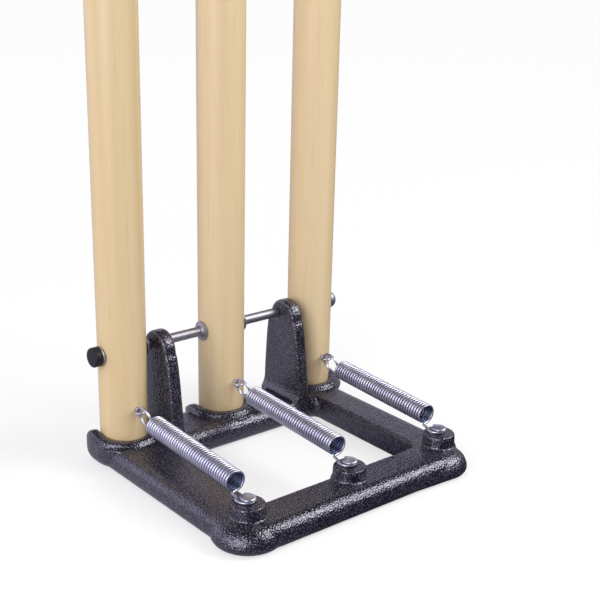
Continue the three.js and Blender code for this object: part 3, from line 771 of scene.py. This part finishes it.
pin = {
    "shank": 2.5, "depth": 13, "clear": 1.4,
    "head": 5.75, "headHeight": 2.4, "headRim": 0.9, "headCorner": 0.25,
}
eye = {
    "height": 49, "wire": 1, "ring": 4, "gap": 0.3, "turn": 352, "steps": 48, "crease": 50,
    "shank": 1.6, "shankLength": 17, "neck": [(0, 0), (0, 1.2), (0.6, 1.45), (2.2, 1.6)], "tip": 0.8,
    "threads": 10, "firstThread": 2.6, "threadPitch": 1.25, "threadCrest": 0.45, "threadRoot": 0.7,
    "threadDepth": 0.4,
}
spring = {
    "wire": 1.05, "outer": 8.3, "turns": 38, "perTurn": 30, "front": (-148.4, 40.2), "rear": (-45.2, 45.2),
    "frontLoop": 6.9, "loopHeight": 31.4, "frontArc": (math.radians(62), math.radians(-222)),
    "rearLoop": 8.8, "rearLoopHeight": 46.6, "rearTilt": math.radians(16),
    "rearArc": (math.radians(-75), math.radians(205)),
    "loopSteps": 48, "bridgeSteps": 12, "bridgePull": 0.9, "loopGap": 0.3, "hookReach": 1.1,
    # the next line sets the limits and reach of the mask for painted shade on the inside of each coil
    "paintedShadeFrom": -0.15, "paintedShadeTo": 0.45, "paintedShadeReach": 1.05,
}
wireRoundness = 3    # the bevel resolution of every wire


def springPin(name, x):
    under, head, shank = spring["loopHeight"] + pin["clear"], pin["head"], pin["shank"]
    bottom, corner = boss["height"] - pin["depth"], pin["headCorner"]
    profile = [(bottom, 0), (bottom, shank), (under, shank), (under, head - corner), (under + corner, head),
               (under + pin["headRim"], head)]
    profile += quarter((under + pin["headRim"], head), (under + pin["headHeight"], 0), steps=10)
    piece = turned("pin_" + name, profile, at(x, -boss["reach"], 0), "z")
    smoothed(piece.data, crease=40)
    place(piece, "base", ["spring_pin_" + name], wire, "zinc")


def bridge(before, start, end, after, pull, count):
    # a smooth run of points that leaves one stretch of wire and joins the next
    out = start + (start - before).normalized() * pull
    back = end + (end - after).normalized() * pull
    points = []
    for step in range(1, count + 1):
        t = step / (count + 1)
        s = 1 - t
        points.append(start * s ** 3 + out * 3 * s * s * t + back * 3 * s * t * t + end * t ** 3)
    return points


def arcAngles(arc, steps):
    first, last = arc
    return [first + (last - first) * step / steps for step in range(steps + 1)]


def springLine(x):
    # flat loop round the pin, close-wound coil, upright loop through the screw eye
    radius, frontLoop = spring["outer"] - spring["wire"], spring["frontLoop"]
    frontCentre = frontLoop - boss["reach"] - spring["wire"] - pin["shank"] - spring["loopGap"]
    line = []
    for angle in arcAngles(spring["frontArc"], spring["loopSteps"]):
        line.append(at(x + frontLoop * math.cos(angle), frontCentre + frontLoop * math.sin(angle),
                       spring["loopHeight"]))
    front, rear = at(x, *spring["front"]), at(x, *spring["rear"])
    axis = rear - front
    length = axis.length
    axis.normalize()
    across, up = Vector((1, 0, 0)), Vector((0, -axis.z, axis.y))
    steps = spring["turns"] * spring["perTurn"]
    coil = []
    for step in range(steps + 1):
        angle = -math.pi / 2 + step / spring["perTurn"] * 2 * math.pi
        outward = up * math.sin(angle) + across * math.cos(angle)
        coil.append(front + axis * length * step / steps + outward * radius * mm)
    rearLoop, tilt = spring["rearLoop"], spring["rearTilt"]
    crossing = stump["radius"] + eye["gap"] + 2 * eye["wire"] + spring["loopGap"] + spring["hookReach"]
    rise = (eye["height"] - spring["rearLoopHeight"]) / math.cos(tilt)
    rearCentre = -crossing - math.sqrt(rearLoop ** 2 - rise ** 2)
    ring = []
    for angle in arcAngles(spring["rearArc"], spring["loopSteps"]):
        lift = rearLoop * math.sin(angle)
        ring.append(at(x - math.sin(tilt) * lift, rearCentre + rearLoop * math.cos(angle),
                       spring["rearLoopHeight"] + math.cos(tilt) * lift))
    pull, count = radius * spring["bridgePull"] * mm, spring["bridgeSteps"]
    line += bridge(line[-2], line[-1], coil[0], coil[1], pull, count) + coil
    return line + bridge(coil[-2], coil[-1], ring[0], ring[1], pull, count) + ring


def wireTube(name, points, radius):
    curve = bpy.data.curves.new(name, "CURVE")
    curve.dimensions = "3D"
    curve.bevel_depth = radius
    curve.bevel_resolution = wireRoundness
    curve.use_fill_caps = True
    spline = curve.splines.new("POLY")
    spline.points.add(len(points) - 1)
    for point, target in zip(spline.points, points):
        point.co = (*target, 1)
    holder = linked(name, curve)
    bpy.context.view_layer.update()
    mesh = bpy.data.meshes.new_from_object(holder.evaluated_get(bpy.context.evaluated_depsgraph_get()))
    bpy.data.objects.remove(holder)
    smoothed(mesh)
    return linked(name, mesh)


def markPaintedHollowShade(mesh, x):
    # how far each point of the wire faces the coil's own axis: the mask for the painted shade inside the
    # coil
    front, rear = at(x, *spring["front"]), at(x, *spring["rear"])
    axis = (rear - front).normalized()
    length, reach = (rear - front).length, spring["outer"] * mm * spring["paintedShadeReach"]
    inner = mesh.attributes.new("inner", "FLOAT", "POINT")
    for vertex in mesh.vertices:
        along = (vertex.co - front).dot(axis)
        out = vertex.co - front - axis * along
        if 0 < along < length and 0 < out.length < reach:
            facing = -vertex.normal.dot(out.normalized())
            inner.data[vertex.index].value = share(facing, spring["paintedShadeFrom"], spring["paintedShadeTo"])


def extensionSpring(name, x):
    piece = wireTube("coil_" + name, springLine(x), spring["wire"] * mm)
    markPaintedHollowShade(piece.data, x)
    piece.data.materials.append(wire)
    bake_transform(piece)
    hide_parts("spring_" + name)


def screwEye(name, x):
    loop, height, shank = eye["ring"], eye["height"], eye["shank"]
    reach = stump["radius"] + eye["gap"] + eye["wire"] + loop
    arc = (math.radians(90), math.radians(90 + eye["turn"]))
    points = [at(x + loop * math.cos(angle), -reach + loop * math.sin(angle), height)
              for angle in arcAngles(arc, eye["steps"])]
    ring = wireTube("eye_" + name, points, eye["wire"] * mm)
    root = shank - eye["threadDepth"]
    profile = list(eye["neck"])
    for turn in range(eye["threads"]):
        along = eye["firstThread"] + turn * eye["threadPitch"]
        profile += [(along, root), (along + eye["threadCrest"], shank), (along + eye["threadRoot"], root)]
    profile += [(eye["shankLength"] - eye["tip"], root), (eye["shankLength"], 0)]
    screw = turned("shank", profile, (0, 0, 0), "z", steps=24)
    screw.data.transform(Matrix.Rotation(-math.pi / 2, 4, "X"))
    screw.data.transform(Matrix.Translation(at(x, loop - reach, height)))
    boolean(ring, [screw], "UNION")
    smoothed(ring.data, eye["crease"])
    place(ring, "stump_" + name, ["screw_eye_" + name], wire, "zinc")


for name in sides:
    x = stumpPlaces["stump_" + name]
    springPin(name, x)
    extensionSpring(name, x)
    screwEye(name, x)
print("springs made")


# Floor, light and camera

studio = {
    "floorColour": (0.40, 0.40, 0.41), "floorSeen": (0.92, 0.92, 0.92),
    "floorSurface": {"Roughness": 0.9, "Specular IOR Level": 0}, "floorSize": 8,
    "whiteShare": (0.60, 0.95), "whiteReach": (0.22, 0.80),
    "floorRise": (-0.5, 0.85, 0), "floorReach": (-0.2, 0.2),
    "floorFade": [(0.32, (0.06, 0.06, 0.09)), (0.48, (0.38, 0.36, 0.42)), (0.70, (0.46, 0.44, 0.52))],
    "up": (0, 0, 1), "backdrop": (0.60, 0.58, 0.68), "aboveIt": (0.74, 0.70, 0.82),
    "overhead": (0.06, 0.06, 0.08),
    "behind": (-0.37, 0.93, 0), "frontShade": (0.25, 0.25, 0.27), "rearShade": (1, 1, 1),
    "brightSide": (-0.80, 0.35, 0.49), "darkAmbient": (0.20, 0.20, 0.205),
    "paleAmbient": (0.69, 0.69, 0.71), "white": (1, 1, 1), "target": (0, 0, 0.2),
}
lamps = {
    "key": {"spot": (1.27, -1.06, 1.49), "length": 1.45, "width": 1, "power": 36, "colour": (1, 1, 1)},
    "fill": {"spot": (-2.30, -0.95, 1.20), "length": 2, "width": 2, "power": 46, "colour": (1, 0.99, 1.05)},
    "rim": {"spot": (-1.55, 1.98, 1.10), "length": 2.6, "width": 2.4, "power": 10.5,
            "colour": (0.92, 0.90, 1.12)},
}


def lightPath(nodes, ray):
    return nodes.new("ShaderNodeLightPath").outputs[ray]


def seenDirectly(nodes, links, cameraShare=1):
    # how much of the white a ray takes: cameraShare from the camera, all off gloss or through glass,
    # and none for other light
    gloss = mathOf(nodes, links, "MAXIMUM", lightPath(nodes, "Is Glossy Ray"),
                   lightPath(nodes, "Is Transmission Ray"))
    return mathOf(nodes, links, "MULTIPLY_ADD", lightPath(nodes, "Is Camera Ray"), cameraShare, gloss)


def rangeOf(nodes, links, source, reach, values=(0, 1)):
    made = nodes.new("ShaderNodeMapRange")
    made.inputs["From Min"].default_value, made.inputs["From Max"].default_value = reach
    made.inputs["To Min"].default_value, made.inputs["To Max"].default_value = values
    links.new(source, made.inputs["Value"])
    return made.outputs["Result"]


def floorGlow(nodes, links):
    # gloss sees the floor's white by place, dimmer towards the front, and the camera sees it even
    place = nodes.new("ShaderNodeTexCoord").outputs["Object"]
    rise = dotOf(nodes, links, place, studio["floorRise"])
    fade = ramp(nodes, links, rangeOf(nodes, links, rise, studio["floorReach"]), studio["floorFade"])
    return mixOf(nodes, links, lightPath(nodes, "Is Camera Ray"), fade, studio["white"])


def floorWhite(nodes, links):
    # close to the piece the floor keeps its shadows, further off it goes white
    far = nodes.new("ShaderNodeVectorMath")
    far.operation = "LENGTH"
    links.new(nodes.new("ShaderNodeTexCoord").outputs["Object"], far.inputs[0])
    return rangeOf(nodes, links, far.outputs["Value"], studio["whiteReach"], studio["whiteShare"])


def floorSheet():
    bm = bmesh.new()
    bmesh.ops.create_grid(bm, x_segments=1, y_segments=1, size=studio["floorSize"])
    floor = finish("floor", bm)
    material, nodes, links, shader = shaderOf("paleFloor", studio["floorSurface"])
    fromCamera = lightPath(nodes, "Is Camera Ray")
    paint = mixOf(nodes, links, fromCamera, studio["floorColour"], studio["floorSeen"])
    links.new(paint, shader.inputs["Base Color"])
    glow = nodes.new("ShaderNodeEmission")
    links.new(floorGlow(nodes, links), glow.inputs["Color"])
    mix = nodes.new("ShaderNodeMixShader")
    links.new(seenDirectly(nodes, links, floorWhite(nodes, links)), mix.inputs["Fac"])
    links.new(shader.outputs["BSDF"], mix.inputs[1])
    links.new(glow.outputs["Emission"], mix.inputs[2])
    links.new(mix.outputs["Shader"], nodes["Material Output"].inputs["Surface"])
    floor.data.materials.append(material)


def towards(nodes, links, direction, side, stops):
    # a colour that goes by how far a ray heads to one side: 0 is away from it, 1 straight to it
    turn = mathOf(nodes, links, "MULTIPLY_ADD", dotOf(nodes, links, direction, side), 0.5, 0.5)
    return ramp(nodes, links, turn, stops)


def surroundings():
    # white for the camera, a shaded backdrop for gloss and a soft ambient for all other light
    world = bpy.data.worlds.new("studio")
    world.use_nodes = True
    bpy.context.scene.world = world
    nodes, links = world.node_tree.nodes, world.node_tree.links
    direction = nodes.new("ShaderNodeTexCoord").outputs["Generated"]
    height = towards(nodes, links, direction, studio["up"],
                     [(0.50, studio["backdrop"]), (0.58, studio["aboveIt"]), (0.68, studio["aboveIt"]),
                      (0.74, studio["overhead"])])
    depth = towards(nodes, links, direction, studio["behind"],
                    [(0.1, studio["frontShade"]), (0.55, studio["rearShade"])])
    gloss = mixOf(nodes, links, 1, height, depth, "MULTIPLY")
    ambient = towards(nodes, links, direction, studio["brightSide"],
                      [(0.3, studio["darkAmbient"]), (0.8, studio["paleAmbient"])])
    direct = mixOf(nodes, links, lightPath(nodes, "Is Camera Ray"), gloss, studio["white"])
    colour = mixOf(nodes, links, seenDirectly(nodes, links), ambient, direct)
    links.new(colour, nodes["Background"].inputs["Color"])


def softbox(name, box):
    lamp = bpy.data.lights.new(name, "AREA")
    lamp.shape = "RECTANGLE"
    lamp.size = box["length"]
    lamp.size_y = box["width"]
    lamp.energy = box["power"]
    lamp.color = box["colour"]
    holder = linked(name, lamp)
    holder.location = box["spot"]
    aim = Vector(studio["target"]) - Vector(box["spot"])
    holder.rotation_euler = aim.to_track_quat("-Z", "Y").to_euler()
    holder.visible_camera = False


def camera():
    shot = {
        "azimuth": 40.187, "elevation": 20.453, "roll": 1.424,    # degrees
        "place": (-536.71, -736.82, 425.35),                      # millimetres from the rod's line
        "focal": 1170.78, "centreY": 334.67, "picture": 600,      # pixels
        "sensor": 36, "clip": (0.01, 50),
    }
    azimuth, elevation, roll = (math.radians(shot[key]) for key in ("azimuth", "elevation", "roll"))
    forward = Vector((math.sin(azimuth) * math.cos(elevation), math.cos(azimuth) * math.cos(elevation),
                      -math.sin(elevation)))
    level = Vector((math.cos(azimuth), -math.sin(azimuth), 0))
    right = level * math.cos(roll) + level.cross(forward) * math.sin(roll)
    up = right.cross(forward)
    lens = bpy.data.cameras.new("camera")
    lens.sensor_width = shot["sensor"]
    lens.lens = shot["focal"] / shot["picture"] * lens.sensor_width
    lens.shift_y = (shot["centreY"] - shot["picture"] / 2) / shot["picture"]
    lens.clip_start, lens.clip_end = shot["clip"]
    holder = linked("camera", lens)
    turn = Matrix((right, up, -forward)).transposed()
    holder.matrix_world = Matrix.Translation(at(*shot["place"])) @ turn.to_4x4()
    bpy.context.scene.camera = holder


floorSheet()
surroundings()
for name, box in lamps.items():
    softbox(name, box)
camera()
bpy.context.scene.view_settings.view_transform = "Standard"
print("studio made")
